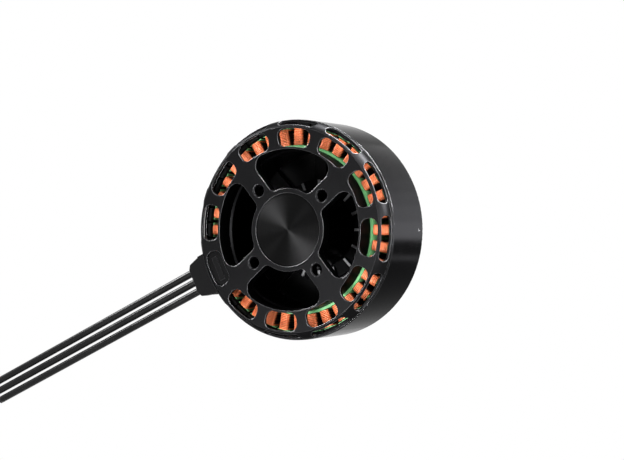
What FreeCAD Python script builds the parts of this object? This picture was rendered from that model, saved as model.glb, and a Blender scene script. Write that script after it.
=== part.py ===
import FreeCAD, Part
import Sketcher
import math
import os

from FreeCAD import Placement, Rotation, Vector

os.makedirs("parts", exist_ok=True)
doc = FreeCAD.newDocument("brushless_motor")
sheet = doc.addObject("Spreadsheet::Sheet", "Sizes")

# Every size in millimetres or degrees. Depths run from the mounting face (0) towards the bell.
# "aim" angles are measured on the mounting face, from +X towards +Z.
# A size written as a formula follows the sizes it names.
SIZES = [
    # base housing
    ("rim_radius", 43.0),
    ("rim_round", 7.0),
    ("rim_round_angle", 56.4),
    ("rim_round_depth", "=rim_round * sin(rim_round_angle)"),
    ("face_edge_radius", "=rim_radius - rim_round * (1 - cos(rim_round_angle))"),
    ("rim_land", 0.83),
    ("rim_depth", "=rim_round_depth - rim_land"),
    ("rim_wall", 0.9),
    ("face_wall", 1.2),
    ("plate_depth", 4.2),
    ("carrier_drop", 10.9),
    ("carrier_radius", "=rim_radius - carrier_drop"),
    ("carrier_wall", 1.4),
    ("carrier_bore", "=carrier_radius - carrier_wall"),
    ("carrier_mouth", "=carrier_radius - carrier_wall / 2"),
    ("carrier_step_depth", "=plate_depth + 3.3"),
    ("carrier_depth", "=stack_end + insulator_thickness"),
    ("hub_ring_radius", "=bearing_radius + 5.1"),
    ("hub_tube_radius", "=hub_ring_radius - 0.6"),
    ("window_land", 3.7),
    ("window_outer", "=rim_radius - window_land"),
    ("window_count", 12),
    ("window_bar_angle", 3.5),
    ("window_half_angle", "=180 / window_count - window_bar_angle"),
    ("window_corner", 3.0),
    ("slot_start", 0.6),
    ("slot_end", "=rim_depth - 0.6"),
    ("slot_half_angle", "=window_half_angle + 0.3"),
    ("slot_floor", "=window_outer - 0.3"),
    ("arm_half_width", 4.15),
    ("arm_count", 4),
    ("arm_aim", 15.0),
    ("kidney_outer_corner", 4.5),
    ("kidney_inner_corner", 2.6),
    ("bolt_circle", 40.0),
    ("bolt_hole", 4.3),
    ("bolt_chamfer", 0.45),
    ("over_cut", 1.0),
    # turned disc in the middle of the mounting face
    ("disc_radius", "=hub_ring_radius - 1.8"),
    ("disc_recess", 0.45),
    ("disc_thickness", 1.4),
    ("disc_clearance", 0.03),
    # shaft and bearings
    ("shaft_radius", "=bearing_radius * 5 / 11"),
    ("shaft_start", "=disc_recess + disc_thickness + 0.6"),
    ("bearing_radius", 11.0),
    ("bearing_width", 6.0),
    ("bearing_start", "=plate_depth"),
    ("hub_end", "=end_plate_start - nose_length"),
    ("rear_bearing_start", "=hub_end - bearing_width"),
    ("bearing_lip", "=bearing_radius - 1.2"),
    ("ball_radius", "=(bearing_radius - shaft_radius) / 4"),
    ("ball_circle", "=(bearing_radius + shaft_radius) / 2 + 0.1"),
    ("race_inner", "=ball_circle - 0.8 * ball_radius"),
    ("race_outer", "=ball_circle + 0.8 * ball_radius"),
    ("ball_clearance", 0.3),
    ("ball_count", 9),
    ("cage_half_width", 0.35),
    ("cage_half_depth", 0.9),
    ("shield_thickness", 0.3),
    ("shield_inner", "=race_inner + 0.3"),
    ("seat_clearance", 0.02),
    ("tube_seat_wall", 2.4),
    ("ring_groove_radius", "=bearing_radius + 0.6"),
    ("ring_thickness", 0.9),
    ("spacer_radius", "=race_inner - 0.6"),
    ("circlip_radius", "=shaft_radius + 1.6"),
    ("circlip_thickness", 0.8),
    ("circlip_groove", "=shaft_radius - 0.4"),
    ("pilot_radius", "=shaft_radius - 1"),
    ("pilot_length", 3.6),
    ("pilot_end", "=boss_end + pilot_length"),
    ("pilot_chamfer", 0.5),
    # stator
    ("stack_gap", 5.6),
    ("stack_start", "=plate_depth + stack_gap"),
    ("stack_depth", 13.4),
    ("stack_end", "=stack_start + stack_depth"),
    ("tooth_count", 36),
    ("tooth_width", 1.7),
    ("yoke_radius", "=carrier_radius + 1"),
    ("air_gap", 0.4),
    ("stator_radius", "=magnet_front - air_gap"),
    ("tip_start", "=stator_radius - 0.3"),
    ("tip_gap_angle", 0.95),
    ("tip_half_width", "=stator_radius * sin(180 / tooth_count - tip_gap_angle)"),
    ("glue_gap", 0.02),
    ("insulator_thickness", 0.6),
    ("collar_depth", 1.8),
    ("coil_aim", 4.6),
    ("coil_width", 4.1),
    ("coil_inner", "=yoke_radius + coil_gap"),
    ("coil_outer", "=tip_start - coil_gap"),
    ("coil_end", 1.2),
    ("coil_gap", 0.1),
    ("coil_corner", 0.9),
    ("phase_count", 3),
    # bell
    ("bell_gap", 1.2),
    ("bell_start", "=rim_depth + bell_gap"),
    ("bell_bevel", 0.5),
    ("bell_front_bevel", 0.35),
    ("bell_flange", 1.0),
    ("flux_wall", 1.3),
    ("magnet_thickness", 1.0),
    ("magnet_back", "=rim_radius - flux_wall - glue_gap"),
    ("magnet_front", "=magnet_back - magnet_thickness"),
    ("magnet_start", "=bell_start + 1.2"),
    ("magnet_end", "=end_plate_start - 0.3"),
    ("magnet_count", 42),
    ("magnet_gap_angle", 0.586),
    ("magnet_half_angle", "=180 / magnet_count - magnet_gap_angle"),
    ("winding_clearance", 0.9),
    ("end_plate_start", "=stack_end + insulator_thickness + coil_gap + coil_end + winding_clearance"),
    ("nose_length", 2.7),
    ("bay_floor", "=end_plate_start + 2.4"),
    ("web_end", "=bay_floor + 1.2"),
    ("bell_depth", "=web_end + 2.6"),
    ("boss_end", "=bell_depth + 0.4"),
    ("bay_inner", 20.5),
    ("bay_outer", "=rim_radius - 10"),
    ("web_slope", 0.9),
    ("web_margin", 0.6),
    ("bay_corner", 2.0),
    ("rib_half_width", 2.5),
    ("rib_count", 8),
    ("rib_aim", 64.6),
    ("fin_count", 16),
    ("fin_height", 1.2),
    ("fin_root", 0.2),
    ("fin_inner", "=hub_ring_radius"),
    ("fin_outer", "=bay_inner - 0.3"),
    ("fin_thickness", 1.1),
    ("boss_radius", "=bay_inner - 2"),
    ("nose_radius", "=shaft_radius + 2"),
    ("prop_circle", 26.0),
    ("prop_hole", 3.3),
    ("prop_hole_floor", 0.8),
    ("pin_radius", 0.6),
    ("pin_depth", "=bell_depth - 4.1"),
    ("pin_inset", 0.3),
    ("pin_length", 3.0),
    ("pin_count", 3),
    ("pin_clearance", 0.02),
    # cable gland and leads
    ("gland_aim", 270.0),
    ("gland_root_half", "=gland_shoulder_half + 1.5"),
    ("gland_root", "=face_edge_radius - 2"),
    ("gland_shoulder_half", "=lead_pitch + lead_radius + 1.35"),
    ("gland_shoulder", "=rim_radius + 4.5"),
    ("gland_face_half", "=gland_shoulder_half - 1.8"),
    ("gland_face", "=gland_shoulder + 1.2"),
    ("gland_start", 0.4),
    ("gland_end", "=rim_depth - 0.1"),
    ("gland_clearance", 0.05),
    ("gland_step", 0.35),
    ("gland_step_inset", 0.1),
    ("neck_side_gap", 3.3),
    ("neck_half_angle", "=slot_half_angle - neck_side_gap"),
    ("neck_inset", 0.3),
    ("insert_recess", 0.9),
    ("insert_clearance", 0.12),
    ("ridge_height", 0.45),
    ("ridge_half_length", 4.9),
    ("ridge_half_width", 1.1),
    ("ridge_radius", "=(carrier_radius + window_outer) / 2"),
    ("ridge_root", 0.2),
    ("lead_radius", 1.5),
    ("lead_pitch", 3.95),
    ("lead_depth", "=(gland_start + gland_end) / 2"),
    ("lead_start", "=gland_face - 3.5"),
    ("lead_length", 120.8),
    ("wire_tip_radius", 0.8),
    ("wire_tip_length", 6.0),
]


class Size:
    """A number that remembers the sheet formula it came from."""

    def __init__(self, value, formula):
        self.value = value
        self.formula = formula

    def __add__(self, other):
        other = as_size(other)
        return Size(self.value + other.value, f"({self.formula} + {other.formula})")

    def __sub__(self, other):
        other = as_size(other)
        return Size(self.value - other.value, f"({self.formula} - {other.formula})")

    def __mul__(self, other):
        other = as_size(other)
        return Size(self.value * other.value, f"({self.formula} * {other.formula})")

    def __truediv__(self, other):
        other = as_size(other)
        return Size(self.value / other.value, f"({self.formula} / {other.formula})")

    def __neg__(self):
        return Size(-self.value, f"(0 - {self.formula})")

    __radd__ = __add__
    __rmul__ = __mul__

    def __rsub__(self, other):
        return as_size(other) - self


def as_size(number):
    if isinstance(number, Size):
        return number
    return Size(float(number), f"({number})")


def cosine(angle):
    return Size(math.cos(math.radians(angle.value)), f"cos({angle.formula})")


def sine(angle):
    return Size(math.sin(math.radians(angle.value)), f"sin({angle.formula})")


def arc_sine(ratio):
    return Size(math.degrees(math.asin(ratio.value)), f"(asin({ratio.formula}) / (1 deg))")


def root(number):
    return Size(math.sqrt(number.value), f"sqrt({number.formula})")


def leg(slant, side):
    """The other short side of a right triangle."""
    return root(slant * slant - side * side)


for row, (alias, number) in enumerate(SIZES, start=1):
    sheet.set(f"A{row}", alias)
    sheet.setAlias(f"B{row}", alias)
for row, (alias, number) in enumerate(SIZES, start=1):
    sheet.set(f"B{row}", str(number))
doc.recompute()
S = {alias: Size(float(getattr(sheet, alias)), f"Sizes.{alias}") for alias, number in SIZES}

# Pieces are drawn with the shaft axis up their own Z and turned to lie along +Y.
LIE_DOWN = Placement(Vector(0, 0, 0), Rotation(Vector(1, 0, 0), -90))
STRAIGHT = as_size(0)
finished = {}


def bind(thing, path, number):
    thing.setExpression(path, as_size(number).formula)


def start_body(label):
    body = doc.addObject("PartDesign::Body", label)
    body.Label = label
    body.Placement = LIE_DOWN
    finished[label] = body
    return body


def plane(body, role):
    return next(item for item in body.Origin.OriginFeatures if item.Role == role)


def start_sketch(body, role, name, lift=None, turn=None, turn_axis=None):
    """A sketch on an origin plane, lifted off it, or turned about the shaft axis and pushed outwards."""
    sketch = body.newObject("Sketcher::SketchObject", name)
    sketch.AttachmentSupport = (plane(body, role), "")
    sketch.MapMode = "FlatFace"
    lift = as_size(0 if lift is None else lift)
    turn = STRAIGHT if turn is None else turn
    if turn_axis is None:
        sketch.AttachmentOffset = Placement(Vector(0, 0, lift.value), Rotation(Vector(0, 0, 1), turn.value))
        bind(sketch, "AttachmentOffset.Base.z", lift)
    else:
        aside = lift * sine(turn)
        ahead = lift * cosine(turn)
        sketch.AttachmentOffset = Placement(Vector(aside.value, 0, ahead.value), Rotation(turn_axis, turn.value))
        bind(sketch, "AttachmentOffset.Base.x", aside)
        bind(sketch, "AttachmentOffset.Base.z", ahead)
    if turn.value:
        bind(sketch, "AttachmentOffset.Rotation.Angle", turn)
    return sketch


def hold(sketch, kind, items, number):
    """A constraint whose value follows the sheet."""
    index = sketch.addConstraint(Sketcher.Constraint(kind, *items, number.value))
    name = f"{kind}{index}"
    sketch.renameConstraint(index, name)
    bind(sketch, f"Constraints.{name}", number)


def outline(sketch, corners):
    """A closed outline. Each corner is (x, y) or (x, y, radius, centre x, centre y) where an arc leaves it."""
    points = [tuple(as_size(number) for number in corner) for corner in corners]
    first = sketch.GeometryCount
    ends = []
    for here, after in zip(points, points[1:] + points[:1]):
        start = Vector(here[0].value, here[1].value, 0)
        end = Vector(after[0].value, after[1].value, 0)
        if len(here) == 2:
            sketch.addGeometry(Part.LineSegment(start, end))
            ends.append((1, 2))
            continue
        centre = Vector(here[3].value, here[4].value, 0)
        arm = start - centre
        other = end - centre
        left_turn = arm.x * other.y - arm.y * other.x > 0
        low, high = (arm, other) if left_turn else (other, arm)
        low_angle = math.atan2(low.y, low.x)
        high_angle = math.atan2(high.y, high.x)
        if high_angle < low_angle:
            high_angle += 2 * math.pi
        circle = Part.Circle(centre, Vector(0, 0, 1), here[2].value)
        sketch.addGeometry(Part.ArcOfCircle(circle, low_angle, high_angle))
        ends.append((1, 2) if left_turn else (2, 1))
    count = len(points)
    for index, here in enumerate(points):
        edge = first + index
        before = first + (index - 1) % count
        sketch.addConstraint(
            Sketcher.Constraint("Coincident", before, ends[(index - 1) % count][1], edge, ends[index][0])
        )
        hold(sketch, "DistanceX", (-1, 1, edge, ends[index][0]), here[0])
        hold(sketch, "DistanceY", (-1, 1, edge, ends[index][0]), here[1])
        if len(here) > 2:
            hold(sketch, "Radius", (edge,), here[2])


def ring(sketch, radius, x=STRAIGHT, y=STRAIGHT):
    edge = sketch.addGeometry(Part.Circle(Vector(x.value, y.value, 0), Vector(0, 0, 1), radius.value))
    hold(sketch, "DistanceX", (-1, 1, edge, 3), x)
    hold(sketch, "DistanceY", (-1, 1, edge, 3), y)
    hold(sketch, "Radius", (edge,), radius)


def rectangle(sketch, left, right, low, high):
    outline(sketch, [(left, low), (right, low), (right, high), (left, high)])


def rounded_rectangle(sketch, half_x, low, high, corner):
    """A rectangle about the sketch's upright axis with round corners."""
    inner_x = half_x - corner
    outline(sketch, [
        (-inner_x, low),
        (inner_x, low, corner, inner_x, low + corner),
        (half_x, low + corner),
        (half_x, high - corner, corner, inner_x, high - corner),
        (inner_x, high),
        (-inner_x, high, corner, -inner_x, high - corner),
        (-half_x, high - corner),
        (-half_x, low + corner, corner, -inner_x, low + corner),
    ])


def rounded_sector(sketch, inner, outer, half_angle, offset, outer_corner, inner_corner):
    """A piece of a ring about the sketch's X axis. Its sides run offset from the rays at plus and minus half_angle."""
    ray_x = cosine(half_angle)
    ray_y = sine(half_angle)

    def place(along, aside):
        return along * ray_x + aside * ray_y, along * ray_y - aside * ray_x

    def corner_points(centre_radius, arc_radius, corner):
        """The touching point on the ring's arc, the corner's centre and the touching point on the side."""
        aside = offset + corner
        along = leg(centre_radius, aside)
        centre = place(along, aside)
        grow = arc_radius / centre_radius
        return (centre[0] * grow, centre[1] * grow), centre, place(along, offset)

    far_arc, far_centre, far_side = corner_points(outer - outer_corner, outer, outer_corner)
    near_arc, near_centre, near_side = corner_points(inner + inner_corner, inner, inner_corner)
    outline(sketch, [
        (far_arc[0], -far_arc[1], outer, 0, 0),
        (far_arc[0], far_arc[1], outer_corner, far_centre[0], far_centre[1]),
        (far_side[0], far_side[1]),
        (near_side[0], near_side[1], inner_corner, near_centre[0], near_centre[1]),
        (near_arc[0], near_arc[1], inner, 0, 0),
        (near_arc[0], -near_arc[1], inner_corner, near_centre[0], -near_centre[1]),
        (near_side[0], -near_side[1]),
        (far_side[0], -far_side[1], outer_corner, far_centre[0], -far_centre[1]),
    ])


def add_feature(body, kind, name, sketch, forward=True):
    feature = body.newObject(f"PartDesign::{kind}", name)
    feature.Profile = sketch
    feature.Reversed = not forward
    return feature


def pad(body, name, sketch, length, forward=True):
    feature = add_feature(body, "Pad", name, sketch, forward)
    bind(feature, "Length", length)
    return feature


def pocket(body, name, sketch, length, forward=True):
    feature = add_feature(body, "Pocket", name, sketch, forward)
    bind(feature, "Length", length)
    return feature


def turn_about_shaft(body, kind, name, sketch, angle=None):
    """A turned feature, all the way round or evenly to both sides of its sketch."""
    feature = add_feature(body, kind, name, sketch)
    feature.ReferenceAxis = (sketch, ["V_Axis"])
    if angle is None:
        feature.Angle = 360
    else:
        feature.Midplane = True
        bind(feature, "Angle", angle)
    return feature


def repeat(body, name, originals, count):
    """Copies evenly round the shaft axis."""
    feature = body.newObject("PartDesign::PolarPattern", name)
    feature.Originals = originals
    feature.Axis = (plane(body, "Z_Axis"), [""])
    feature.Angle = 360
    bind(feature, "Occurrences", count)
    body.Tip = feature
    return feature


def turned(label, *profiles):
    """A turned piece from closed outlines of (radius, depth) corners."""
    body = start_body(label)
    sketch = start_sketch(body, "XZ_Plane", label + "_section")
    for corners in profiles:
        outline(sketch, corners)
    turn_about_shaft(body, "Revolution", label + "_turning", sketch)
    return body


def edges_at(feature, wanted):
    """Names of the edges of a feature that pass the test."""
    return [f"Edge{index}" for index, edge in enumerate(feature.Shape.Edges, start=1) if wanted(edge)]


def rim_corners(grow):
    """The rounded rim from the mounting face back, offset outwards by a clearance."""
    face_edge = S["face_edge_radius"] + grow
    arc_radius = S["rim_round"] + grow
    arc_centre = S["rim_radius"] - S["rim_round"]
    rim_edge = arc_centre + leg(arc_radius, S["rim_round_depth"] - S["rim_depth"])
    return [
        (face_edge, -grow, arc_radius, arc_centre, S["rim_round_depth"]),
        (rim_edge, S["rim_depth"]),
    ]


# Base housing: mounting face, rounded rim and stator carrier turned from one blank.
rear_seat = S["rear_bearing_start"]
hub_end = S["hub_end"]
tube_fit = S["bearing_radius"] + S["tube_seat_wall"]
front_lip = S["bearing_start"] + S["bearing_width"]
disc_seat = S["disc_recess"] + S["disc_thickness"]
groove_start = S["bearing_start"] - S["ring_thickness"]
carrier_step = S["carrier_mouth"] - S["carrier_bore"]
arc_centre = S["rim_radius"] - S["rim_round"]
arc_depth = S["rim_round_depth"]
shell_round = S["rim_round"] - S["rim_wall"]
base = start_body("base_housing")
section = start_sketch(base, "XZ_Plane", "base_section")
outline(section, [
    (S["disc_radius"], 0),
    *rim_corners(as_size(0)),
    (arc_centre + leg(shell_round, arc_depth - S["rim_depth"]), S["rim_depth"], shell_round, arc_centre, arc_depth),
    (arc_centre + leg(shell_round, arc_depth - S["face_wall"]), S["face_wall"]),
    (S["carrier_radius"], S["face_wall"]),
    (S["carrier_radius"], S["carrier_depth"]),
    (S["carrier_bore"], S["carrier_depth"]),
    (S["carrier_bore"], S["carrier_step_depth"] + carrier_step),
    (S["carrier_mouth"], S["carrier_step_depth"]),
    (S["carrier_mouth"], S["plate_depth"]),
    (tube_fit, S["plate_depth"]),
    (tube_fit, disc_seat),
    (S["disc_radius"], disc_seat),
])
turn_about_shaft(base, "Revolution", "base_turning", section)

window = start_sketch(base, "XY_Plane", "window_shape")
rounded_sector(
    window, S["carrier_radius"], S["window_outer"], S["window_half_angle"], STRAIGHT,
    S["window_corner"], S["window_corner"],
)
window_cut = pocket(base, "window_cut", window, S["face_wall"] + S["over_cut"], forward=False)
repeat(base, "windows", [window_cut], S["window_count"])

slot_height = S["slot_end"] - S["slot_start"]
slot_middle = (S["slot_end"] + S["slot_start"]) / 2
slot_turn = S["slot_half_angle"] - arc_sine(slot_height / 2 / S["rim_radius"])
slot = start_sketch(base, "XZ_Plane", "slot_shape")
rectangle(slot, S["slot_floor"], S["rim_radius"] + S["over_cut"], S["slot_start"], S["slot_end"])
slot_cuts = [turn_about_shaft(base, "Groove", "slot_cut", slot, slot_turn * 2)]
for side, turn in (("left", slot_turn), ("right", -slot_turn)):
    end = start_sketch(
        base, "YZ_Plane", f"slot_{side}_end", S["rim_radius"] + S["over_cut"], turn, Vector(0, 1, 0)
    )
    ring(end, slot_height / 2, STRAIGHT, slot_middle)
    slot_cuts.append(pocket(base, f"slot_{side}_end_cut", end, S["rim_radius"] + S["over_cut"] - S["slot_floor"]))
repeat(base, "slots", slot_cuts, S["window_count"])

half_gap = as_size(180) / S["arm_count"]
kidney = start_sketch(base, "XY_Plane", "kidney_shape", None, -(S["arm_aim"] + half_gap))
rounded_sector(
    kidney, S["hub_ring_radius"], S["carrier_mouth"], half_gap, S["arm_half_width"],
    S["kidney_outer_corner"], S["kidney_inner_corner"],
)
kidney_cut = pocket(base, "kidney_cut", kidney, S["plate_depth"] + S["over_cut"], forward=False)
repeat(base, "kidneys", [kidney_cut], S["arm_count"])

bolt_place = S["bolt_circle"] / 2
hole = start_sketch(base, "XY_Plane", "bolt_hole_shape", None, -S["arm_aim"])
ring(hole, S["bolt_hole"] / 2, bolt_place, STRAIGHT)
hole_cut = pocket(base, "bolt_hole_cut", hole, S["plate_depth"] + S["over_cut"], forward=False)
holes = repeat(base, "bolt_holes", [hole_cut], S["arm_count"])
doc.recompute()


def is_hole_mouth(edge):
    curve = edge.Curve
    return (
        curve.TypeId == "Part::GeomCircle"
        and abs(curve.Radius - S["bolt_hole"].value / 2) < 0.001
        and abs(curve.Center.z) < 0.001
    )


mouths = base.newObject("PartDesign::Chamfer", "bolt_hole_chamfers")
mouths.Base = (holes, edges_at(holes, is_hole_mouth))
bind(mouths, "Size", S["bolt_chamfer"])
base.Tip = mouths

# Bearing tube: pressed into the base from behind, with a seat for each bearing.
turned("bearing_tube", [
    (tube_fit, disc_seat),
    (tube_fit, S["plate_depth"]),
    (S["hub_tube_radius"], S["plate_depth"]),
    (S["hub_tube_radius"], hub_end),
    (S["bearing_radius"], hub_end),
    (S["bearing_radius"], rear_seat),
    (S["bearing_lip"], rear_seat),
    (S["bearing_lip"], front_lip),
    (S["bearing_radius"], front_lip),
    (S["bearing_radius"], S["bearing_start"]),
    (S["ring_groove_radius"], S["bearing_start"]),
    (S["ring_groove_radius"], groove_start),
    (S["bearing_radius"], groove_start),
    (S["bearing_radius"], disc_seat),
])

# The turned disc that closes the bearing bore.
disc_edge = S["disc_radius"] - S["disc_clearance"]
turned("hub_disc", [
    (0, S["disc_recess"]),
    (disc_edge, S["disc_recess"]),
    (disc_edge, disc_seat),
    (0, disc_seat),
])

# Laminated stator: a thin yoke glued on the carrier tube, with T-shaped teeth.
stack_end = S["stack_end"]
yoke_bore = S["carrier_radius"] + S["glue_gap"]
tooth_pitch = as_size(360) / S["tooth_count"]


def toothed_ring(label, start, collar, thickness, collar_first):
    """A yoke ring of depth collar with T-shaped teeth of depth thickness at one end of it."""
    body = start_body(label)
    yoke = start_sketch(body, "XY_Plane", label + "_yoke", start)
    ring(yoke, S["yoke_radius"])
    ring(yoke, yoke_bore)
    pad(body, label + "_yoke_pad", yoke, collar)
    tooth_start = start + collar - thickness if collar_first else start
    tooth = start_sketch(body, "XY_Plane", label + "_tooth", tooth_start, -S["coil_aim"])
    half = S["tooth_width"] / 2
    foot = S["yoke_radius"] - (S["yoke_radius"] - yoke_bore) / 2
    outline(tooth, [
        (foot, -half),
        (S["tip_start"], -half),
        (S["tip_start"], -S["tip_half_width"]),
        (S["stator_radius"], -S["tip_half_width"]),
        (S["stator_radius"], S["tip_half_width"]),
        (S["tip_start"], S["tip_half_width"]),
        (S["tip_start"], half),
        (foot, half),
    ])
    tooth_pad = pad(body, label + "_tooth_pad", tooth, thickness)
    repeat(body, label + "_teeth", [tooth_pad], S["tooth_count"])
    return body


toothed_ring("stator_core", S["stack_start"], S["stack_depth"], S["stack_depth"], False)
front_collar = S["stack_start"] - S["collar_depth"]
toothed_ring("front_insulator", front_collar, S["collar_depth"], S["insulator_thickness"], True)
toothed_ring("rear_insulator", stack_end, S["insulator_thickness"], S["insulator_thickness"], False)

# Windings: one rounded loop round each tooth, wired in neighbouring pairs, phase after phase.
coil_inside_start = S["stack_start"] - S["insulator_thickness"] - S["coil_gap"]
coil_inside_end = stack_end + S["insulator_thickness"] + S["coil_gap"]
coil_start = coil_inside_start - S["coil_end"]
coil_end = coil_inside_end + S["coil_end"]
coils_per_phase = 2
for phase, letter in enumerate("abc"):
    label = f"winding_{letter}"
    body = start_body(label)
    pads = []
    for neighbour in range(coils_per_phase):
        index = phase * coils_per_phase + neighbour
        name = f"{label}_coil_{neighbour}"
        turn = -(S["coil_aim"] + tooth_pitch * index)
        coil = start_sketch(body, "YZ_Plane", name, S["coil_inner"], turn, Vector(0, 1, 0))
        rounded_rectangle(coil, S["coil_width"] / 2, coil_start, coil_end, S["coil_corner"])
        inside = S["tooth_width"] / 2 + S["coil_gap"]
        rectangle(coil, -inside, inside, coil_inside_start, coil_inside_end)
        pads.append(pad(body, name + "_pad", coil, S["coil_outer"] - S["coil_inner"]))
    repeat(body, label + "_coils", pads, S["tooth_count"] / (S["phase_count"] * coils_per_phase))

# Bearings: two races with a ball groove, shields and a caged set of balls.
bearing_edge = S["bearing_radius"] - S["seat_clearance"]
shaft_seat = S["shaft_radius"] + S["seat_clearance"]
groove_radius = S["ball_radius"] + S["ball_clearance"]


def bearing(prefix, start):
    end = start + S["bearing_width"]
    middle = start + S["bearing_width"] / 2
    outer_reach = leg(groove_radius, S["race_outer"] - S["ball_circle"])
    turned(f"{prefix}_bearing_outer", [
        (S["race_outer"], start),
        (bearing_edge, start),
        (bearing_edge, end),
        (S["race_outer"], end),
        (S["race_outer"], middle + outer_reach, groove_radius, S["ball_circle"], middle),
        (S["race_outer"], middle - outer_reach),
    ])
    inner_reach = leg(groove_radius, S["ball_circle"] - S["race_inner"])
    turned(f"{prefix}_bearing_inner", [
        (shaft_seat, start),
        (S["race_inner"], start),
        (S["race_inner"], middle - inner_reach, groove_radius, S["ball_circle"], middle),
        (S["race_inner"], middle + inner_reach),
        (S["race_inner"], end),
        (shaft_seat, end),
    ])
    shield_edge = S["race_outer"] - S["seat_clearance"]
    inset = S["shield_thickness"] / 2
    shields = []
    for near in (start + inset, end - inset - S["shield_thickness"]):
        far = near + S["shield_thickness"]
        shields.append([(S["shield_inner"], near), (shield_edge, near), (shield_edge, far), (S["shield_inner"], far)])
    turned(f"{prefix}_bearing_shields", *shields)
    body = turned(f"{prefix}_bearing_balls", [
        (S["ball_circle"] - S["cage_half_width"], middle - S["cage_half_depth"]),
        (S["ball_circle"] + S["cage_half_width"], middle - S["cage_half_depth"]),
        (S["ball_circle"] + S["cage_half_width"], middle + S["cage_half_depth"]),
        (S["ball_circle"] - S["cage_half_width"], middle + S["cage_half_depth"]),
    ])
    ball = body.newObject("PartDesign::AdditiveSphere", f"{prefix}_ball")
    ball.AttachmentSupport = (plane(body, "XY_Plane"), "")
    ball.MapMode = "FlatFace"
    bind(ball, "AttachmentOffset.Base.x", S["ball_circle"])
    bind(ball, "AttachmentOffset.Base.z", middle)
    bind(ball, "Radius", S["ball_radius"])
    repeat(body, f"{prefix}_balls", [ball], S["ball_count"])


bearing("front", S["bearing_start"])
bearing("rear", rear_seat)

ring_edge = S["ring_groove_radius"] - S["seat_clearance"]
turned("bearing_retaining_ring", [
    (S["bearing_lip"], groove_start),
    (ring_edge, groove_start),
    (ring_edge, S["bearing_start"]),
    (S["bearing_lip"], S["bearing_start"]),
])

# Shaft with a circlip groove ahead of the front bearing and a pilot behind the bell.
clip_end = S["bearing_start"]
clip_start = clip_end - S["circlip_thickness"]
turned("shaft", [
    (0, S["shaft_start"]),
    (S["shaft_radius"], S["shaft_start"]),
    (S["shaft_radius"], clip_start),
    (S["circlip_groove"], clip_start),
    (S["circlip_groove"], clip_end),
    (S["shaft_radius"], clip_end),
    (S["shaft_radius"], S["boss_end"]),
    (S["pilot_radius"], S["boss_end"]),
    (S["pilot_radius"], S["pilot_end"] - S["pilot_chamfer"]),
    (S["pilot_radius"] - S["pilot_chamfer"], S["pilot_end"]),
    (0, S["pilot_end"]),
])
clip_bore = S["circlip_groove"] + S["seat_clearance"]
turned("shaft_circlip", [
    (clip_bore, clip_start),
    (S["circlip_radius"], clip_start),
    (S["circlip_radius"], clip_end),
    (clip_bore, clip_end),
])
turned("bearing_spacer", [
    (shaft_seat, front_lip),
    (S["spacer_radius"], front_lip),
    (S["spacer_radius"], rear_seat),
    (shaft_seat, rear_seat),
])

# Flux ring of the bell.
flux_bore = S["rim_radius"] - S["flux_wall"]
flux_end = S["bell_depth"] - S["bell_flange"]
flux = turned("flux_ring", [
    (flux_bore, S["bell_start"]),
    (S["rim_radius"] - S["bell_front_bevel"], S["bell_start"]),
    (S["rim_radius"], S["bell_start"] + S["bell_front_bevel"]),
    (S["rim_radius"], flux_end),
    (flux_bore, flux_end),
])
pin_bore = S["pin_radius"] + S["pin_clearance"]


def pin_holes(body, name, reach):
    """Cross holes for the locking pins, from the bell's outside inwards."""
    start = S["rim_radius"] + S["over_cut"]
    hole = start_sketch(body, "YZ_Plane", name, start, -S["rib_aim"], Vector(0, 1, 0))
    ring(hole, pin_bore, STRAIGHT, S["pin_depth"])
    cut = pocket(body, name + "_cut", hole, start - reach)
    repeat(body, name + "s", [cut], S["pin_count"])


pin_end = S["rim_radius"] - S["pin_inset"]
pin_floor = pin_end - S["pin_length"]
pin_holes(flux, "flux_pin_hole", flux_bore - S["over_cut"])

# End plate of the bell: boss, closed web with ribs inside, cooling fins and outer band.
plate_edge = flux_bore - S["seat_clearance"]
end_plate = turned("end_plate", [
    (shaft_seat, hub_end),
    (S["nose_radius"], hub_end),
    (S["nose_radius"], S["end_plate_start"]),
    (plate_edge, S["end_plate_start"]),
    (plate_edge, flux_end),
    (S["rim_radius"], flux_end),
    (S["rim_radius"] - S["bell_bevel"], S["bell_depth"]),
    (S["bay_outer"] + S["web_margin"] + S["web_slope"], S["bell_depth"]),
    (S["bay_outer"] + S["web_margin"], S["web_end"]),
    (S["boss_radius"] + S["web_margin"], S["web_end"]),
    (S["boss_radius"], S["boss_end"]),
    (shaft_seat, S["boss_end"]),
])
rib_gap = as_size(180) / S["rib_count"]
bay = start_sketch(end_plate, "XY_Plane", "bay_shape", S["end_plate_start"], -(S["rib_aim"] + rib_gap))
rounded_sector(
    bay, S["bay_inner"], S["bay_outer"], rib_gap, S["rib_half_width"], S["bay_corner"], S["bay_corner"]
)
bay_cut = pocket(end_plate, "bay_cut", bay, S["bay_floor"] - S["end_plate_start"], forward=False)
repeat(end_plate, "bays", [bay_cut], S["rib_count"])
fin_start = S["end_plate_start"] - S["fin_height"]
fin = start_sketch(end_plate, "XY_Plane", "fin_shape", fin_start, -S["rib_aim"])
fin_half = S["fin_thickness"] / 2
rectangle(fin, S["fin_inner"], S["fin_outer"], -fin_half, fin_half)
fin_pad = pad(end_plate, "fin_pad", fin, S["fin_height"] + S["fin_root"])
repeat(end_plate, "fins", [fin_pad], S["fin_count"])
prop_hole = start_sketch(end_plate, "XY_Plane", "prop_hole_shape", S["boss_end"], -(S["rib_aim"] + rib_gap))
ring(prop_hole, S["prop_hole"] / 2, S["prop_circle"] / 2, STRAIGHT)
prop_hole_depth = S["boss_end"] - S["end_plate_start"] - S["prop_hole_floor"]
prop_cut = pocket(end_plate, "prop_hole_cut", prop_hole, prop_hole_depth)
repeat(end_plate, "prop_holes", [prop_cut], S["arm_count"])
pin_holes(end_plate, "plate_pin_hole", pin_floor)

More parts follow.
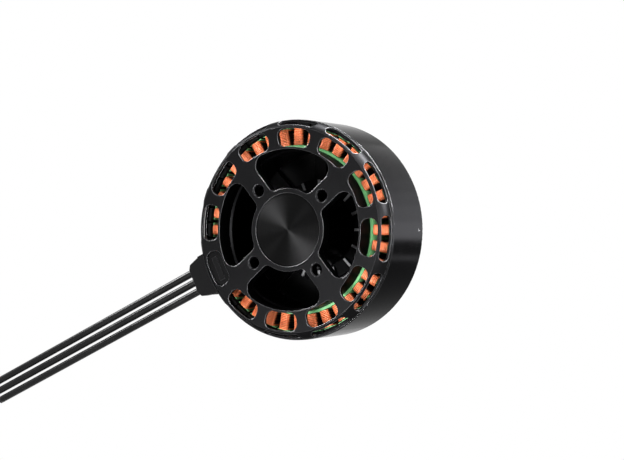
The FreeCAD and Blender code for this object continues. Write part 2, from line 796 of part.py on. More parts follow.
# Locking pins through the flux ring into the end plate, just below the surface.
pins = start_body("bell_pins")
pin = start_sketch(pins, "YZ_Plane", "pin_shape", pin_end, -S["rib_aim"], Vector(0, 1, 0))
ring(pin, S["pin_radius"], STRAIGHT, S["pin_depth"])
pin_pad = pad(pins, "pin_pad", pin, S["pin_length"], forward=False)
repeat(pins, "pin_set", [pin_pad], S["pin_count"])

# Curved bar magnets glued inside the flux ring.
magnets = start_body("rotor_magnets")
bar = start_sketch(magnets, "XY_Plane", "magnet_shape", S["magnet_start"], -S["rib_aim"])
magnet_back = S["magnet_back"]
magnet_front = S["magnet_front"]
bar_x = cosine(S["magnet_half_angle"])
bar_y = sine(S["magnet_half_angle"])
outline(bar, [
    (magnet_front * bar_x, -(magnet_front * bar_y)),
    (magnet_back * bar_x, -(magnet_back * bar_y), magnet_back, 0, 0),
    (magnet_back * bar_x, magnet_back * bar_y),
    (magnet_front * bar_x, magnet_front * bar_y, magnet_front, 0, 0),
])
bar_pad = pad(magnets, "magnet_pad", bar, S["magnet_end"] - S["magnet_start"])
repeat(magnets, "magnet_ring", [bar_pad], S["magnet_count"])

# Rubber cable gland: a block moulded on the rim, with a neck through the side slot.
gland_turn = -S["gland_aim"]
gland = start_body("cable_gland")
block = start_sketch(gland, "XY_Plane", "gland_block", S["gland_start"], gland_turn)
gland_root = S["gland_root"]
step_radius = S["rim_radius"] - S["gland_step_inset"]
step_half = S["gland_root_half"] - S["gland_step"]
outline(block, [
    (gland_root, -S["gland_root_half"]),
    (step_radius, -S["gland_root_half"]),
    (step_radius, -step_half),
    (S["gland_shoulder"], -S["gland_shoulder_half"]),
    (S["gland_face"], -S["gland_face_half"]),
    (S["gland_face"], S["gland_face_half"]),
    (S["gland_shoulder"], S["gland_shoulder_half"]),
    (step_radius, step_half),
    (step_radius, S["gland_root_half"]),
    (gland_root, S["gland_root_half"]),
])
pad(gland, "gland_block_pad", block, S["gland_end"] - S["gland_start"])
relief = start_sketch(gland, "XZ_Plane", "gland_rim_fit")
relief_inner = gland_root - S["over_cut"]
relief_end = S["rim_depth"] + S["over_cut"]
rim_fit = rim_corners(S["gland_clearance"])
outline(relief, [
    (relief_inner, -S["over_cut"]),
    (S["face_edge_radius"] + S["gland_clearance"], -S["over_cut"]),
    *rim_fit,
    (rim_fit[-1][0], relief_end),
    (relief_inner, relief_end),
])
turn_about_shaft(gland, "Groove", "gland_rim_cut", relief)
neck = start_sketch(gland, "YZ_Plane", "gland_neck", None, gland_turn - 90, Vector(0, 1, 0))
rectangle(
    neck, S["window_outer"] + S["gland_clearance"], S["rim_radius"],
    S["slot_start"] + S["neck_inset"], S["slot_end"] - S["neck_inset"],
)
neck_pad = turn_about_shaft(gland, "Revolution", "gland_neck_turning", neck, S["neck_half_angle"] * 2)
for index in range(3):
    aside = S["lead_pitch"] * (index - 1)
    hole = start_sketch(
        gland, "YZ_Plane", f"lead_hole_{index}", S["gland_face"] + S["over_cut"], gland_turn, Vector(0, 1, 0)
    )
    ring(hole, S["lead_radius"] + S["seat_clearance"], aside, S["lead_depth"])
    pocket(gland, f"lead_hole_cut_{index}", hole, S["gland_face"] + S["over_cut"] - S["lead_start"])

# The plate that fills the window beside the gland, with a moulded ridge.
plug = start_body("gland_window_plate")
fill = start_sketch(plug, "XY_Plane", "window_plate_shape", S["insert_recess"], gland_turn)
rounded_sector(
    fill, S["carrier_radius"] + S["insert_clearance"], S["window_outer"] - S["insert_clearance"],
    S["window_half_angle"], S["insert_clearance"], S["window_corner"] - S["insert_clearance"],
    S["window_corner"] - S["insert_clearance"],
)
pad(plug, "window_plate_pad", fill, S["plate_depth"] - S["insert_recess"])
ridge_start = S["insert_recess"] - S["ridge_height"]
ridge = start_sketch(plug, "XY_Plane", "ridge_shape", ridge_start, gland_turn)
rectangle(
    ridge, S["ridge_radius"] - S["ridge_half_width"], S["ridge_radius"] + S["ridge_half_width"],
    -S["ridge_half_length"], S["ridge_half_length"],
)
pad(plug, "ridge_pad", ridge, S["ridge_height"] + S["ridge_root"])

# Three straight silicone leads side by side, each with a tinned end.
POINT_DOWN = Rotation(Vector(1, 0, 0), 180)


def rod(label, radius, length, aside, reach):
    """A round rod that runs straight down from the motor."""
    cylinder = doc.addObject("Part::Cylinder", label)
    cylinder.Label = label
    bind(cylinder, "Radius", radius)
    bind(cylinder, "Height", length)
    cylinder.Placement = Placement(Vector(aside.value, S["lead_depth"].value, -reach.value), POINT_DOWN)
    bind(cylinder, "Placement.Base.x", aside)
    bind(cylinder, "Placement.Base.y", S["lead_depth"])
    bind(cylinder, "Placement.Base.z", -reach)
    finished[label] = cylinder


lead_end = S["lead_start"] + S["lead_length"]
for index, letter in enumerate("abc"):
    aside = S["lead_pitch"] * (index - 1)
    rod(f"lead_{letter}", S["lead_radius"], S["lead_length"], aside, S["lead_start"])
    rod(f"lead_tip_{letter}", S["wire_tip_radius"], S["wire_tip_length"], aside, lead_end)

doc.recompute()

faults = []
for item in doc.Objects:
    if "Invalid" in item.State or "Error" in item.State:
        faults.append(f"{item.Name}: {item.State} {item.getStatusString()}")
for label, item in finished.items():
    shape = item.Shape
    if shape.isNull() or not shape.isValid():
        faults.append(f"{label}: bad shape")
if faults:
    raise RuntimeError("; ".join(faults))
for label, item in finished.items():
    item.Shape.exportStep(f"parts/{label}.step")
    box = item.Shape.BoundBox
    print(
        f"{label:24} solids {len(item.Shape.Solids):3} volume {item.Shape.Volume:10.2f} "
        f"x {box.XMin:7.2f} {box.XMax:7.2f} y {box.YMin:7.2f} {box.YMax:7.2f} z {box.ZMin:8.2f} {box.ZMax:7.2f}"
    )
print("leads: straight, length", S["lead_length"].value)
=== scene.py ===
import math

import bmesh
import bpy
from mathutils import Matrix, Vector


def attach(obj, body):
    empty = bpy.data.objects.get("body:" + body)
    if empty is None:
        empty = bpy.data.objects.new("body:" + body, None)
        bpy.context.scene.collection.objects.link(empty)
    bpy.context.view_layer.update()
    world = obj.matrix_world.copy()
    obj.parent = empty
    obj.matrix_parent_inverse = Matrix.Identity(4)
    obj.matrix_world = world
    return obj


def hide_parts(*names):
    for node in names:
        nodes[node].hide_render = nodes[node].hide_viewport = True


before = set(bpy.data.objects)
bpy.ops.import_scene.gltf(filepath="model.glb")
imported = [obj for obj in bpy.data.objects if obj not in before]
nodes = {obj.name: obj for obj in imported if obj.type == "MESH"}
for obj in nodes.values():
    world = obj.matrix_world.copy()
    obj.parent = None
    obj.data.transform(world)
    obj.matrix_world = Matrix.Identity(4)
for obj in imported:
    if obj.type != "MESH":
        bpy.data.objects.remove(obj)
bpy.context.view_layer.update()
scene = bpy.context.scene
MM = 0.001
FULL_TURN = 2 * math.pi

# The camera stands where the photograph was taken from, by a fit to the hole centres and outlines.
CAMERA_PLACE = Vector((0.12222, -0.47586, 0.25717))
CAMERA_RIGHT = Vector((0.37181, 0.49849, 0.78307))
CAMERA_UP = Vector((-0.9033, 0.0, 0.4289))
CAMERA_AHEAD = Vector((-0.21380, 0.86690, -0.45029))
CAMERA_LENS = 82.8
SENSOR_WIDTH = 36.0
CLIP_START = 0.01
CLIP_END = 50.0


def make_camera():
    data = bpy.data.cameras.new("photo_camera")
    data.lens = CAMERA_LENS
    data.sensor_width = SENSOR_WIDTH
    data.clip_start = CLIP_START
    data.clip_end = CLIP_END
    camera = bpy.data.objects.new("photo_camera", data)
    scene.collection.objects.link(camera)
    turn = Matrix((CAMERA_RIGHT, CAMERA_UP, -CAMERA_AHEAD)).transposed()
    camera.matrix_world = Matrix.Translation(CAMERA_PLACE) @ turn.to_4x4()
    scene.camera = camera


make_camera()

# Leads: three straight silicone wires that hang from the gland.
LEAD_RADIUS = 1.5 * MM
LEAD_PITCH = 3.95 * MM
LEAD_DEPTH = 2.65 * MM
LEAD_START = 45.2 * MM
LEAD_MIDDLE = 123.72 * MM
LEAD_END = 166.0 * MM
LEAD_STEPS = 24
LEAD_ROUNDNESS = 8
SAME_POINT = 0.01 * MM


def evaluated_mesh(thing):
    depsgraph = bpy.context.evaluated_depsgraph_get()
    return bpy.data.meshes.new_from_object(thing.evaluated_get(depsgraph), depsgraph=depsgraph)


def close_ends(mesh):
    """Joins the end caps of a tube to its side."""
    tube = bmesh.new()
    tube.from_mesh(mesh)
    bmesh.ops.remove_doubles(tube, verts=tube.verts, dist=SAME_POINT)
    tube.to_mesh(mesh)
    tube.free()


def make_lead(name, aside):
    """One lead from inside the gland to its tinned end, and the points of its line."""
    curve = bpy.data.curves.new(name, "CURVE")
    curve.dimensions = "3D"
    spline = curve.splines.new("NURBS")
    reaches = (LEAD_START, LEAD_MIDDLE, LEAD_END)
    spline.points.add(len(reaches) - 1)
    for point, reach in zip(spline.points, reaches):
        point.co = (aside, LEAD_DEPTH, -reach, 1.0)
    spline.order_u = 3
    spline.use_endpoint_u = True
    curve.resolution_u = LEAD_STEPS
    line = bpy.data.objects.new(f"{name}_line", curve)
    scene.collection.objects.link(line)
    path = [tuple(vertex.co) for vertex in evaluated_mesh(line).vertices]
    curve.bevel_depth = LEAD_RADIUS
    curve.bevel_resolution = LEAD_ROUNDNESS
    curve.use_fill_caps = True
    tube = evaluated_mesh(line)
    bpy.data.objects.remove(line)
    close_ends(tube)
    lead = bpy.data.objects.new(name, tube)
    scene.collection.objects.link(lead)
    return lead, path


leads = []
for letter, step in (("a", -1), ("b", 0), ("c", 1)):
    lead, path = make_lead(f"silicone_lead_{letter}", step * LEAD_PITCH)
    leads.append(lead)
    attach(lead, "stator")
    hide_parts(f"lead_{letter}")


# Shader nodes that every finish uses.
def new_group(name, inputs, outputs):
    """A shader node group with named inputs and outputs: the tree, its input and its output node."""
    tree = bpy.data.node_groups.new(name, "ShaderNodeTree")
    for label, value in inputs:
        socket = tree.interface.new_socket(name=label, in_out="INPUT", socket_type="NodeSocketFloat")
        socket.default_value = value
    for label, kind in outputs:
        tree.interface.new_socket(name=label, in_out="OUTPUT", socket_type=kind)
    return tree, tree.nodes.new("NodeGroupInput"), tree.nodes.new("NodeGroupOutput")


def set_or_link(tree, socket, value):
    """Gives a socket a plain value, or links another node's output to it."""
    if isinstance(value, (int, float, tuple)):
        socket.default_value = value
    else:
        tree.links.new(value, socket)


def math_node(tree, operation, first, second, clamp=False):
    node = tree.nodes.new("ShaderNodeMath")
    node.operation = operation
    node.use_clamp = clamp
    for socket, value in zip(node.inputs, (first, second)):
        set_or_link(tree, socket, value)
    return node.outputs[0]


def range_node(tree, value, low, high, out_low=0.0, out_high=1.0):
    node = tree.nodes.new("ShaderNodeMapRange")
    labels = ("Value", "From Min", "From Max", "To Min", "To Max")
    for label, number in zip(labels, (value, low, high, out_low, out_high)):
        set_or_link(tree, node.inputs[label], number)
    return node.outputs["Result"]


def mix_two(tree, share, first, second):
    """Two colours, mixed by a share from 0 to 1."""
    node = tree.nodes.new("ShaderNodeMix")
    node.data_type = "RGBA"
    low, high = [socket for socket in node.inputs if socket.type == "RGBA"]
    for socket, value in ((node.inputs[0], share), (low, first), (high, second)):
        set_or_link(tree, socket, value)
    return next(socket for socket in node.outputs if socket.type == "RGBA")


def object_place(tree):
    return tree.nodes.new("ShaderNodeTexCoord").outputs["Object"]


def shaft_distance(tree):
    """Distance from the shaft axis, +Y."""
    flat = tree.nodes.new("ShaderNodeVectorMath")
    flat.operation = "MULTIPLY"
    flat.inputs[1].default_value = (1.0, 0.0, 1.0)
    tree.links.new(object_place(tree), flat.inputs[0])
    reach = tree.nodes.new("ShaderNodeVectorMath")
    reach.operation = "LENGTH"
    tree.links.new(flat.outputs[0], reach.inputs[0])
    return reach.outputs["Value"]


def make_edge_wear_and_highlight():
    """Mask of edges for a lighter tone, partly real wear and partly painted highlight, and normals that
    round them.
    """
    tree, source, sink = new_group(
        "edge_wear_and_highlight",
        [("Width", 0.2 * MM), ("Strength", 1.0)],
        [("Mask", "NodeSocketFloat"), ("Normal", "NodeSocketVector")],
    )
    # How far the rounded normal leans from the face, where the mask starts and where it is full.
    least_bend = 0.02
    most_bend = 0.2
    bevel = tree.nodes.new("ShaderNodeBevel")
    bevel.samples = 6
    tree.links.new(source.outputs["Width"], bevel.inputs["Radius"])
    geometry = tree.nodes.new("ShaderNodeNewGeometry")
    dot = tree.nodes.new("ShaderNodeVectorMath")
    dot.operation = "DOT_PRODUCT"
    tree.links.new(bevel.outputs["Normal"], dot.inputs[0])
    tree.links.new(geometry.outputs["Normal"], dot.inputs[1])
    bend = math_node(tree, "SUBTRACT", 1.0, dot.outputs["Value"])
    mask = range_node(tree, bend, least_bend, most_bend)
    scaled = math_node(tree, "MULTIPLY", mask, source.outputs["Strength"], clamp=True)
    tree.links.new(scaled, sink.inputs["Mask"])
    tree.links.new(bevel.outputs["Normal"], sink.inputs["Normal"])
    return tree


# A noise texture mostly stays between these values.
NOISE_LOW = 0.3
NOISE_HIGH = 0.7


def make_surface_grain():
    """Uneven roughness and fine relief of a blasted, moulded or coated surface."""
    tree, source, sink = new_group(
        "surface_grain",
        [("Scale", 3000.0), ("Patch Scale", 60.0), ("Low", 0.3), ("High", 0.45)],
        [(label, "NodeSocketFloat") for label in ("Roughness", "Height", "Patches")],
    )
    noises = {}
    for scale, detail in (("Scale", 2.0), ("Patch Scale", 4.0)):
        noise = tree.nodes.new("ShaderNodeTexNoise")
        noise.inputs["Detail"].default_value = detail
        tree.links.new(object_place(tree), noise.inputs["Vector"])
        tree.links.new(source.outputs[scale], noise.inputs["Scale"])
        noises[scale] = noise.outputs["Fac"]
    patches = noises["Patch Scale"]
    roughness = range_node(
        tree, patches, NOISE_LOW, NOISE_HIGH, source.outputs["Low"], source.outputs["High"]
    )
    tree.links.new(roughness, sink.inputs["Roughness"])
    tree.links.new(noises["Scale"], sink.inputs["Height"])
    tree.links.new(patches, sink.inputs["Patches"])
    return tree


def make_turning_rings():
    """Fine rings of a lathe tool round the shaft axis."""
    tree, source, sink = new_group(
        "turning_rings", [("Pitch", 0.2 * MM)], [("Height", "NodeSocketFloat")]
    )
    steps = math_node(tree, "DIVIDE", shaft_distance(tree), source.outputs["Pitch"])
    noise = tree.nodes.new("ShaderNodeTexNoise")
    noise.noise_dimensions = "1D"
    noise.inputs["Scale"].default_value = 1.0
    tree.links.new(steps, noise.inputs["W"])
    tree.links.new(noise.outputs["Fac"], sink.inputs["Height"])
    return tree


def make_depth_mask():
    """Mask of what lies past a depth along the shaft and within a radius. Clear at Front, full at Deep."""
    tree, source, sink = new_group(
        "inner_depth",
        [("Front", 8.4 * MM), ("Deep", 9.4 * MM), ("Outer End", 39.2 * MM)],
        [("Mask", "NodeSocketFloat")],
    )
    split = tree.nodes.new("ShaderNodeSeparateXYZ")
    tree.links.new(object_place(tree), split.inputs[0])
    behind = range_node(tree, split.outputs["Y"], source.outputs["Front"], source.outputs["Deep"])
    inside = math_node(tree, "LESS_THAN", shaft_distance(tree), source.outputs["Outer End"])
    tree.links.new(math_node(tree, "MULTIPLY", behind, inside), sink.inputs["Mask"])
    return tree


EDGE_WEAR_AND_HIGHLIGHT = make_edge_wear_and_highlight()
SURFACE_GRAIN = make_surface_grain()
TURNING_RINGS = make_turning_rings()
DEPTH_MASK = make_depth_mask()


def new_material(name, metallic, **constants):
    """A material with one Principled shader, and its constants set on the shader's own sockets."""
    material = bpy.data.materials.new(name)
    material.use_nodes = True
    tree = material.node_tree
    shader = tree.nodes["Principled BSDF"]
    shader.inputs["Metallic"].default_value = metallic
    for label, value in constants.items():
        shader.inputs[label.replace("_", " ")].default_value = value
    return material, tree, shader


def use_group(tree, group, **values):
    node = tree.nodes.new("ShaderNodeGroup")
    node.node_tree = group
    for label, value in values.items():
        node.inputs[label.replace("_", " ")].default_value = value
    return node


def add_relief(tree, shader, height, distance, normal=None):
    bump = tree.nodes.new("ShaderNodeBump")
    bump.inputs["Strength"].default_value = 1.0
    bump.inputs["Distance"].default_value = distance
    tree.links.new(height, bump.inputs["Height"])
    if normal is not None:
        tree.links.new(normal, bump.inputs["Normal"])
    tree.links.new(bump.outputs["Normal"], shader.inputs["Normal"])


def make_finish(name, metallic, tones, scales, roughness, relief=None, edge=None, layers=(), **constants):
    """A finish of two tones. The second lies in soft patches, or on edges of a given width and strength,
    where it is partly wear and partly painted highlight.
    """
    material, tree, shader = new_material(name, metallic, **constants)
    fine, patchy = scales
    low, high = roughness
    grain = use_group(tree, SURFACE_GRAIN, Scale=fine, Patch_Scale=patchy, Low=low, High=high)
    share = grain.outputs["Patches"]
    normal = None
    if edge is not None:
        width, strength = edge
        edge_wear_highlight = use_group(tree, EDGE_WEAR_AND_HIGHLIGHT, Width=width, Strength=strength)
        share = edge_wear_highlight.outputs["Mask"]
        normal = edge_wear_highlight.outputs["Normal"]
    colour = mix_two(tree, share, *tones)
    # Each layer is another tone with the depths where it starts and is full, and the radius where it ends.
    for tone, front, deep, outer_end in layers:
        depth = use_group(tree, DEPTH_MASK, Front=front, Deep=deep, Outer_End=outer_end)
        colour = mix_two(tree, depth.outputs["Mask"], colour, tone)
    tree.links.new(colour, shader.inputs["Base Color"])
    tree.links.new(grain.outputs["Roughness"], shader.inputs["Roughness"])
    if relief is not None:
        add_relief(tree, shader, grain.outputs["Height"], relief, normal)
    return material


# Dyed metal reflects less at low angles than bare metal does, which the tint gives it.
GRAZING_TINT = (0.5, 0.5, 0.5, 1.0)
# Near black of painted shade, laid deep inside hollows.
PAINTED_SHADE_BLACK = (0.003, 0.003, 0.0032, 1.0)


# The edge tone is partly wear and partly a painted highlight along the edges.
def black_anodised(name, black, edge_tone, edge, roughness, layers=()):
    return make_finish(
        name, 1.0, (black, edge_tone), scales=(5000.0, 90.0), roughness=roughness,
        relief=0.004 * MM, edge=edge, layers=layers, Specular_Tint=GRAZING_TINT,
    )


# The edge tone is partly wear and partly a painted highlight along the edges.
def rubbery(name, black, edge_tone, edge_strength, roughness):
    return make_finish(
        name, 0.0, (black, edge_tone), scales=(2500.0, 150.0), roughness=roughness,
        relief=0.01 * MM, edge=(0.4 * MM, edge_strength), Specular_IOR_Level=0.03,
    )


def bare_metal(name, dark, light, roughness):
    return make_finish(
        name, 1.0, (dark, light), scales=(2200.0, 180.0), roughness=roughness, relief=0.003 * MM
    )


def make_turned_disc():
    """Black face with lathe marks, which spread a lamp's light into a double wedge."""
    material, tree, shader = new_material(
        "turned_disc_face", 1.0, Specular_Tint=GRAZING_TINT, Anisotropic=0.95,
        Anisotropic_Rotation=0.25, Roughness=0.42,
    )
    tangent = tree.nodes.new("ShaderNodeTangent")
    tangent.direction_type = "RADIAL"
    tangent.axis = "Y"
    tree.links.new(tangent.outputs["Tangent"], shader.inputs["Tangent"])
    rings = use_group(tree, TURNING_RINGS, Pitch=0.25 * MM)
    shade = range_node(tree, rings.outputs["Height"], NOISE_LOW, NOISE_HIGH)
    colour = mix_two(tree, shade, (0.007, 0.007, 0.0072, 1.0), (0.011, 0.011, 0.0112, 1.0))
    tree.links.new(colour, shader.inputs["Base Color"])
    add_relief(tree, shader, rings.outputs["Height"], 0.003 * MM)
    return material


# Past 8.3 mm deep and within the carrier bore, the housing is painted near black as shade.
HOUSING_BLACK = black_anodised(
    "housing_black", (0.009, 0.009, 0.0095, 1.0), (0.26, 0.26, 0.27, 1.0),
    edge=(0.25 * MM, 0.7), roughness=(0.34, 0.4),
    layers=[(PAINTED_SHADE_BLACK, 8.3 * MM, 9.5 * MM, 31.6 * MM)],
)
TUBE_BLACK = black_anodised(
    "bearing_tube_black", (0.004, 0.004, 0.0042, 1.0), (0.10, 0.10, 0.105, 1.0),
    edge=(0.2 * MM, 0.6), roughness=(0.36, 0.42),
)
BELL_BLACK = black_anodised(
    "bell_black", (0.0075, 0.0075, 0.008, 1.0), (0.35, 0.35, 0.36, 1.0),
    edge=(0.3 * MM, 0.9), roughness=(0.13, 0.17),
)
# The end plate is painted near black inside as shade, and the forward tops of its fins take a lighter tone,
# as barer metal and as painted highlight.
PLATE_BLACK = black_anodised(
    "end_plate_black", (0.010, 0.010, 0.0105, 1.0), (0.30, 0.30, 0.31, 1.0),
    edge=(0.3 * MM, 0.7), roughness=(0.34, 0.42),
    layers=[
        (PAINTED_SHADE_BLACK, 31.0 * MM, 26.5 * MM, 50.0 * MM),
        ((0.16, 0.16, 0.165, 1.0), 25.6 * MM, 25.2 * MM, 50.0 * MM),
    ],
)
TURNED_DISC = make_turned_disc()
# Enamelled wire is warm, glossy and a little uneven. Deep in the slots it is painted near black, as painted
# shade between the coils.
COPPER = make_finish(
    "enamelled_copper", 0.25, ((0.66, 0.13, 0.04, 1.0), (0.86, 0.26, 0.10, 1.0)),
    scales=(1500.0, 350.0), roughness=(0.3, 0.5),
    layers=[((0.02, 0.006, 0.003, 1.0), 8.4 * MM, 9.4 * MM, 39.2 * MM)],
    Coat_Weight=0.3, Coat_Roughness=0.25,
)
GREEN = make_finish(
    "green_epoxy", 0.0, ((0.10, 0.34, 0.12, 1.0), (0.20, 0.50, 0.21, 1.0)),
    scales=(1800.0, 200.0), roughness=(0.35, 0.55), relief=0.02 * MM,
)
SILICONE = make_finish(
    "glossy_silicone", 0.0, ((0.001, 0.001, 0.0011, 1.0), (0.003, 0.003, 0.0032, 1.0)),
    scales=(900.0, 120.0), roughness=(0.2, 0.32), relief=0.006 * MM, Specular_IOR_Level=0.15,
)
GLAND_RUBBER = rubbery(
    "gland_rubber", (0.003, 0.003, 0.0032, 1.0), (0.03, 0.03, 0.031, 1.0),
    edge_strength=0.6, roughness=(0.45, 0.6),
)
MAGNET_BLACK = rubbery(
    "magnet_epoxy", (0.006, 0.006, 0.0062, 1.0), (0.02, 0.02, 0.0205, 1.0),
    edge_strength=0.4, roughness=(0.35, 0.5),
)
STEEL = bare_metal("ground_steel", (0.5, 0.5, 0.52, 1.0), (0.62, 0.62, 0.64, 1.0), (0.18, 0.3))
SPRING_STEEL = bare_metal("spring_steel", (0.1, 0.1, 0.105, 1.0), (0.2, 0.2, 0.21, 1.0), (0.3, 0.4))
SPACER = bare_metal("turned_aluminium", (0.6, 0.6, 0.62, 1.0), (0.72, 0.72, 0.74, 1.0), (0.25, 0.35))
TINNED = bare_metal("tinned_strands", (0.6, 0.6, 0.6, 1.0), (0.75, 0.75, 0.75, 1.0), (0.2, 0.35))

BEARING_PARTS = [
    f"{place}_bearing_{part}"
    for place in ("front", "rear")
    for part in ("outer", "inner", "shields", "balls")
]
FINISHES = (
    (HOUSING_BLACK, ["base_housing"]),
    (TUBE_BLACK, ["bearing_tube"]),
    (TURNED_DISC, ["hub_disc"]),
    (GREEN, ["stator_core", "front_insulator", "rear_insulator"]),
    (STEEL, BEARING_PARTS + ["bell_pins", "shaft"]),
    (SPRING_STEEL, ["bearing_retaining_ring", "shaft_circlip"]),
    (GLAND_RUBBER, ["cable_gland", "gland_window_plate"]),
    (TINNED, ["lead_tip_a", "lead_tip_b", "lead_tip_c"]),
    (BELL_BLACK, ["flux_ring"]),
    (PLATE_BLACK, ["end_plate"]),
    (MAGNET_BLACK, ["rotor_magnets"]),
    (SPACER, ["bearing_spacer"]),
)
for finish, names in FINISHES:
    for name in names:
        nodes[name].data.materials.clear()
        nodes[name].data.materials.append(finish)
for lead in leads:
    lead.data.materials.append(SILICONE)

# Coils: turns of round wire in the same space as the solid loops, in pairs of teeth for each phase.
TOOTH_COUNT = 36
PAIR_TEETH = 2
PHASE_PAIRS = 6
COIL_AIM = math.radians(4.6)
COIL_INNER = 33.2 * MM
COIL_OUTER = 39.88 * MM
COIL_WIDTH = 4.1 * MM
COIL_START = 7.9 * MM
COIL_END = 25.1 * MM
COIL_CORNER = 0.8 * MM
CORNER_POINTS = 4
WIRE_RADIUS = 0.3 * MM
WIRE_SIDES = 8
TURNS = 10

COIL_INPUTS = (
    ("Width", "NodeSocketFloat"),
    ("Depth", "NodeSocketFloat"),
    ("Wire Radius", "NodeSocketFloat"),
    ("Turns", "NodeSocketInt"),
    ("Inner", "NodeSocketFloat"),
    ("Pitch", "NodeSocketFloat"),
    ("Middle", "NodeSocketFloat"),
    ("First Angle", "NodeSocketFloat"),
    ("Tooth Angle", "NodeSocketFloat"),
    ("Pair Angle", "NodeSocketFloat"),
    ("Material", "NodeSocketMaterial"),
)


def wound_coil_tree():
    """Turns of wire round a tooth, stacked outwards, and copied round the shaft for each pair of teeth."""
    tree = bpy.data.node_groups.new("wound_coils", "GeometryNodeTree")
    for label, kind in COIL_INPUTS:
        tree.interface.new_socket(name=label, in_out="INPUT", socket_type=kind)
    tree.interface.new_socket(name="Geometry", in_out="OUTPUT", socket_type="NodeSocketGeometry")
    source = tree.nodes.new("NodeGroupInput")
    sink = tree.nodes.new("NodeGroupOutput")

    def node(kind, links, **settings):
        """A node with settings, and its inputs by name or number, each linked or set to a value."""
        made = tree.nodes.new(kind)
        for label, value in settings.items():
            setattr(made, label, value)
        for label, value in links.items():
            set_or_link(tree, made.inputs[label], value)
        return made.outputs[0]

    def ring_of(count, angle, geometry):
        """Copies of a geometry turned about +Y by equal angles."""
        points = node("GeometryNodeMeshLine", {"Count": count, "Offset": (0.0, 0.0, 0.0)})
        index = node("GeometryNodeInputIndex", {})
        turned = node("ShaderNodeMath", {0: index, 1: angle}, operation="MULTIPLY")
        rotation = node("ShaderNodeCombineXYZ", {"Y": turned})
        return node(
            "GeometryNodeInstanceOnPoints", {"Points": points, "Instance": geometry, "Rotation": rotation}
        )

    values = source.outputs
    loop = node(
        "GeometryNodeCurvePrimitiveQuadrilateral", {"Width": values["Width"], "Height": values["Depth"]}
    )
    rounded = node(
        "GeometryNodeFilletCurve",
        {"Curve": loop, "Count": CORNER_POINTS, "Radius": COIL_CORNER},
        mode="POLY",
    )
    wire = node(
        "GeometryNodeCurvePrimitiveCircle", {"Resolution": WIRE_SIDES, "Radius": values["Wire Radius"]}
    )
    one_turn = node("GeometryNodeCurveToMesh", {"Curve": rounded, "Profile Curve": wire})
    # The loop lies in X and Y, so its height runs along the shaft, and the turns stack outwards in Z.
    first_reach = node(
        "ShaderNodeMath", {0: values["Pitch"], 1: 0.5, 2: values["Inner"]}, operation="MULTIPLY_ADD"
    )
    first_place = node("ShaderNodeCombineXYZ", {"Y": values["Middle"], "Z": first_reach})
    step = node("ShaderNodeCombineXYZ", {"Z": values["Pitch"]})
    stack = node(
        "GeometryNodeMeshLine",
        {"Count": values["Turns"], "Start Location": first_place, "Offset": step},
        mode="OFFSET",
    )
    coil = node("GeometryNodeInstanceOnPoints", {"Points": stack, "Instance": one_turn})
    pair = ring_of(PAIR_TEETH, values["Tooth Angle"], coil)
    whole = ring_of(PHASE_PAIRS, values["Pair Angle"], pair)
    aim = node("ShaderNodeCombineXYZ", {"Y": values["First Angle"]})
    aimed = node("GeometryNodeTransform", {"Geometry": whole, "Rotation": aim})
    real = node("GeometryNodeRealizeInstances", {0: aimed})
    painted = node("GeometryNodeSetMaterial", {"Geometry": real, "Material": values["Material"]})
    smooth = node("GeometryNodeSetShadeSmooth", {"Geometry": painted})
    tree.links.new(smooth, sink.inputs[0])
    return tree


def grow(tree, name, settings):
    """Evaluates a geometry tree into a plain mesh object at the origin."""
    holder = bpy.data.objects.new(f"{name}_holder", bpy.data.meshes.new(f"{name}_holder"))
    scene.collection.objects.link(holder)
    modifier = holder.modifiers.new("grow", "NODES")
    modifier.node_group = tree
    sockets = {
        item.name: item.identifier
        for item in tree.interface.items_tree
        if item.item_type == "SOCKET" and item.in_out == "INPUT"
    }
    for label, value in settings.items():
        modifier[sockets[label]] = value
    holder.update_tag()
    bpy.context.view_layer.update()
    made = bpy.data.objects.new(name, evaluated_mesh(holder))
    scene.collection.objects.link(made)
    bpy.data.objects.remove(holder)
    return made


# Aims run from +X to +Z. The tree's first coil stands at +Z, and a turn about +Y lowers its aim.
COILS = wound_coil_tree()
TOOTH_ANGLE = FULL_TURN / TOOTH_COUNT
for phase, letter in enumerate("abc"):
    aim = COIL_AIM + phase * PAIR_TEETH * TOOTH_ANGLE
    wires = grow(COILS, f"wound_phase_{letter}", {
        "Width": COIL_WIDTH - 2 * WIRE_RADIUS,
        "Depth": COIL_END - COIL_START - 2 * WIRE_RADIUS,
        "Wire Radius": WIRE_RADIUS,
        "Turns": TURNS,
        "Inner": COIL_INNER,
        "Pitch": (COIL_OUTER - COIL_INNER) / TURNS,
        "Middle": (COIL_START + COIL_END) / 2,
        "First Angle": FULL_TURN / 4 - aim,
        "Tooth Angle": -TOOTH_ANGLE,
        "Pair Angle": -FULL_TURN / PHASE_PAIRS,
        "Material": COPPER,
    })
    wires.data.materials.clear()
    wires.data.materials.append(COPPER)
    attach(wires, "stator")
    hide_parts(f"winding_{letter}")

# Floor, world and lamps.
FLOOR_HEIGHT = -0.6
FLOOR_HALF = 6.0
WHITE = (1.0, 1.0, 1.0, 1.0)
PALE = (0.8, 0.8, 0.8, 1.0)
WORLD_LEVEL = 0.9


def show_white(tree, white, lit, output):
    """Plain white to camera, glossy and transmission rays, and the lit surface or world to others."""
    path = tree.nodes.new("ShaderNodeLightPath")
    seen = path.outputs["Is Camera Ray"]
    for label in ("Is Transmission Ray", "Is Glossy Ray"):
        seen = math_node(tree, "ADD", seen, path.outputs[label], clamp=True)
    white.inputs["Color"].default_value = WHITE
    white.inputs["Strength"].default_value = 1.0
    choose = tree.nodes.new("ShaderNodeMixShader")
    for socket, value in zip(choose.inputs, (seen, lit.outputs[0], white.outputs[0])):
        tree.links.new(value, socket)
    tree.links.new(choose.outputs[0], output.inputs["Surface"])


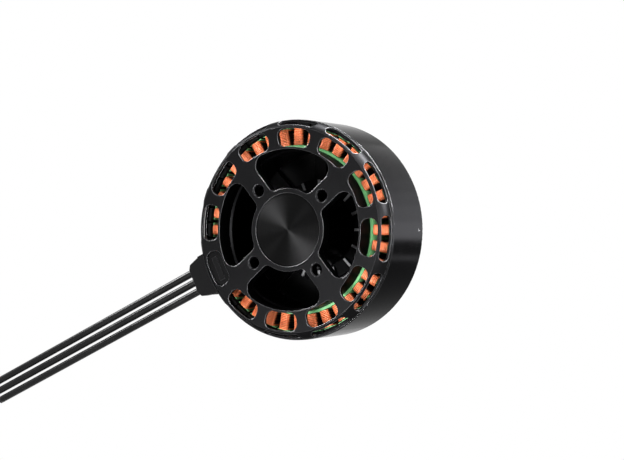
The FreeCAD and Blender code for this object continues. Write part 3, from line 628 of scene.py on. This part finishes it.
def make_floor():
    sides = ((-1, -1), (1, -1), (1, 1), (-1, 1))
    corners = [(x * FLOOR_HALF, y * FLOOR_HALF, FLOOR_HEIGHT) for x, y in sides]
    mesh = bpy.data.meshes.new("studio_floor")
    mesh.from_pydata(corners, [], [(0, 1, 2, 3)])
    floor = bpy.data.objects.new("studio_floor", mesh)
    scene.collection.objects.link(floor)
    material, tree, shader = new_material("pale_floor", 0.0, Base_Color=PALE, Roughness=0.9)
    show_white(tree, tree.nodes.new("ShaderNodeEmission"), shader, tree.nodes["Material Output"])
    mesh.materials.append(material)


def make_world():
    world = bpy.data.worlds.new("studio_world")
    scene.world = world
    world.use_nodes = True
    tree = world.node_tree
    base = tree.nodes["Background"]
    base.inputs["Color"].default_value = WHITE
    base.inputs["Strength"].default_value = WORLD_LEVEL
    show_white(tree, tree.nodes.new("ShaderNodeBackground"), base, tree.nodes["World Output"])


def add_softbox(name, toward, distance, width, height, radiance, up):
    """An area lamp that faces the motor. Radiance is what a mirror would show of it."""
    data = bpy.data.lights.new(name, "AREA")
    data.shape = "RECTANGLE"
    data.size = width
    data.size_y = height
    data.energy = radiance * math.pi * width * height
    lamp = bpy.data.objects.new(name, data)
    scene.collection.objects.link(lamp)
    back = toward.normalized()
    across = up.cross(back).normalized()
    turn = Matrix((across, back.cross(across), back)).transposed()
    lamp.matrix_world = Matrix.Translation(back * distance) @ turn.to_4x4()


PHOTO_RIGHT = Vector((0.4289, 0.0, 0.9033))
PHOTO_UP = Vector((-0.9033, 0.0, 0.4289))
BEHIND = Vector((0.0, 1.0, 0.0))
REAR_RIGHT = 0.25
REAR_BEHIND = 0.87
REAR_DISTANCE = 0.8
REAR_WIDTH = 0.6
REAR_LOW_EDGE = -0.1

# Each lamp: direction to the photo's right, up and behind the motor, distance, width, height and radiance.
LAMPS = {
    "rim_softbox_top": ((-0.05, 0.97, 0.25), 0.7, 0.30, 0.25, 54.0),
    "rim_softbox_middle": ((0.515, 0.851, 0.10), 0.7, 0.35, 0.25, 80.0),
    "rim_softbox_right": ((0.89, 0.45, 0.02), 0.7, 0.30, 0.25, 42.0),
    "chamfer_softbox": ((0.364, 0.862, -0.352), 0.7, 0.25, 0.25, 16.0),
    "step_softbox": ((0.867, 0.0, -0.4985), 0.7, 0.30, 0.30, 14.0),
    "rear_strip": ((0.44, -0.234, REAR_BEHIND), REAR_DISTANCE, 0.40, 0.03, 4.0),
    "disc_softbox": ((-0.1445, -0.354, -0.924), 0.6, 0.20, 0.20, 40.0),
    "lead_softbox": ((-0.78, 0.59, -0.21), 0.7, 0.30, 0.30, 34.0),
}
# The bell's side brightens downwards, so lamps of one low edge and falling top edges overlap behind it.
REAR_STEPS = ((0.55, 1.3), (0.48, 1.1), (0.43, 1.2), (0.38, 2.0), (0.30, 2.3), (0.20, 2.2), (0.07, 2.6))
for step, (top_edge, radiance) in enumerate(REAR_STEPS):
    LAMPS[f"rear_softbox_{step}"] = (
        (REAR_RIGHT, (top_edge + REAR_LOW_EDGE) / 2, REAR_BEHIND),
        REAR_DISTANCE, REAR_WIDTH, REAR_DISTANCE * (top_edge - REAR_LOW_EDGE), radiance,
    )
# Lamps nearly in line with the shaft stand upright in the photo, and the others stand along the shaft.
SHAFT_LINE = 0.8

make_floor()
make_world()
for name, ((right, up, behind), distance, width, height, radiance) in LAMPS.items():
    toward = PHOTO_RIGHT * right + PHOTO_UP * up + BEHIND * behind
    lamp_up = PHOTO_UP if abs(behind) > SHAFT_LINE else BEHIND
    add_softbox(name, toward, distance, width, height, radiance, lamp_up)

scene.view_settings.view_transform = "Standard"
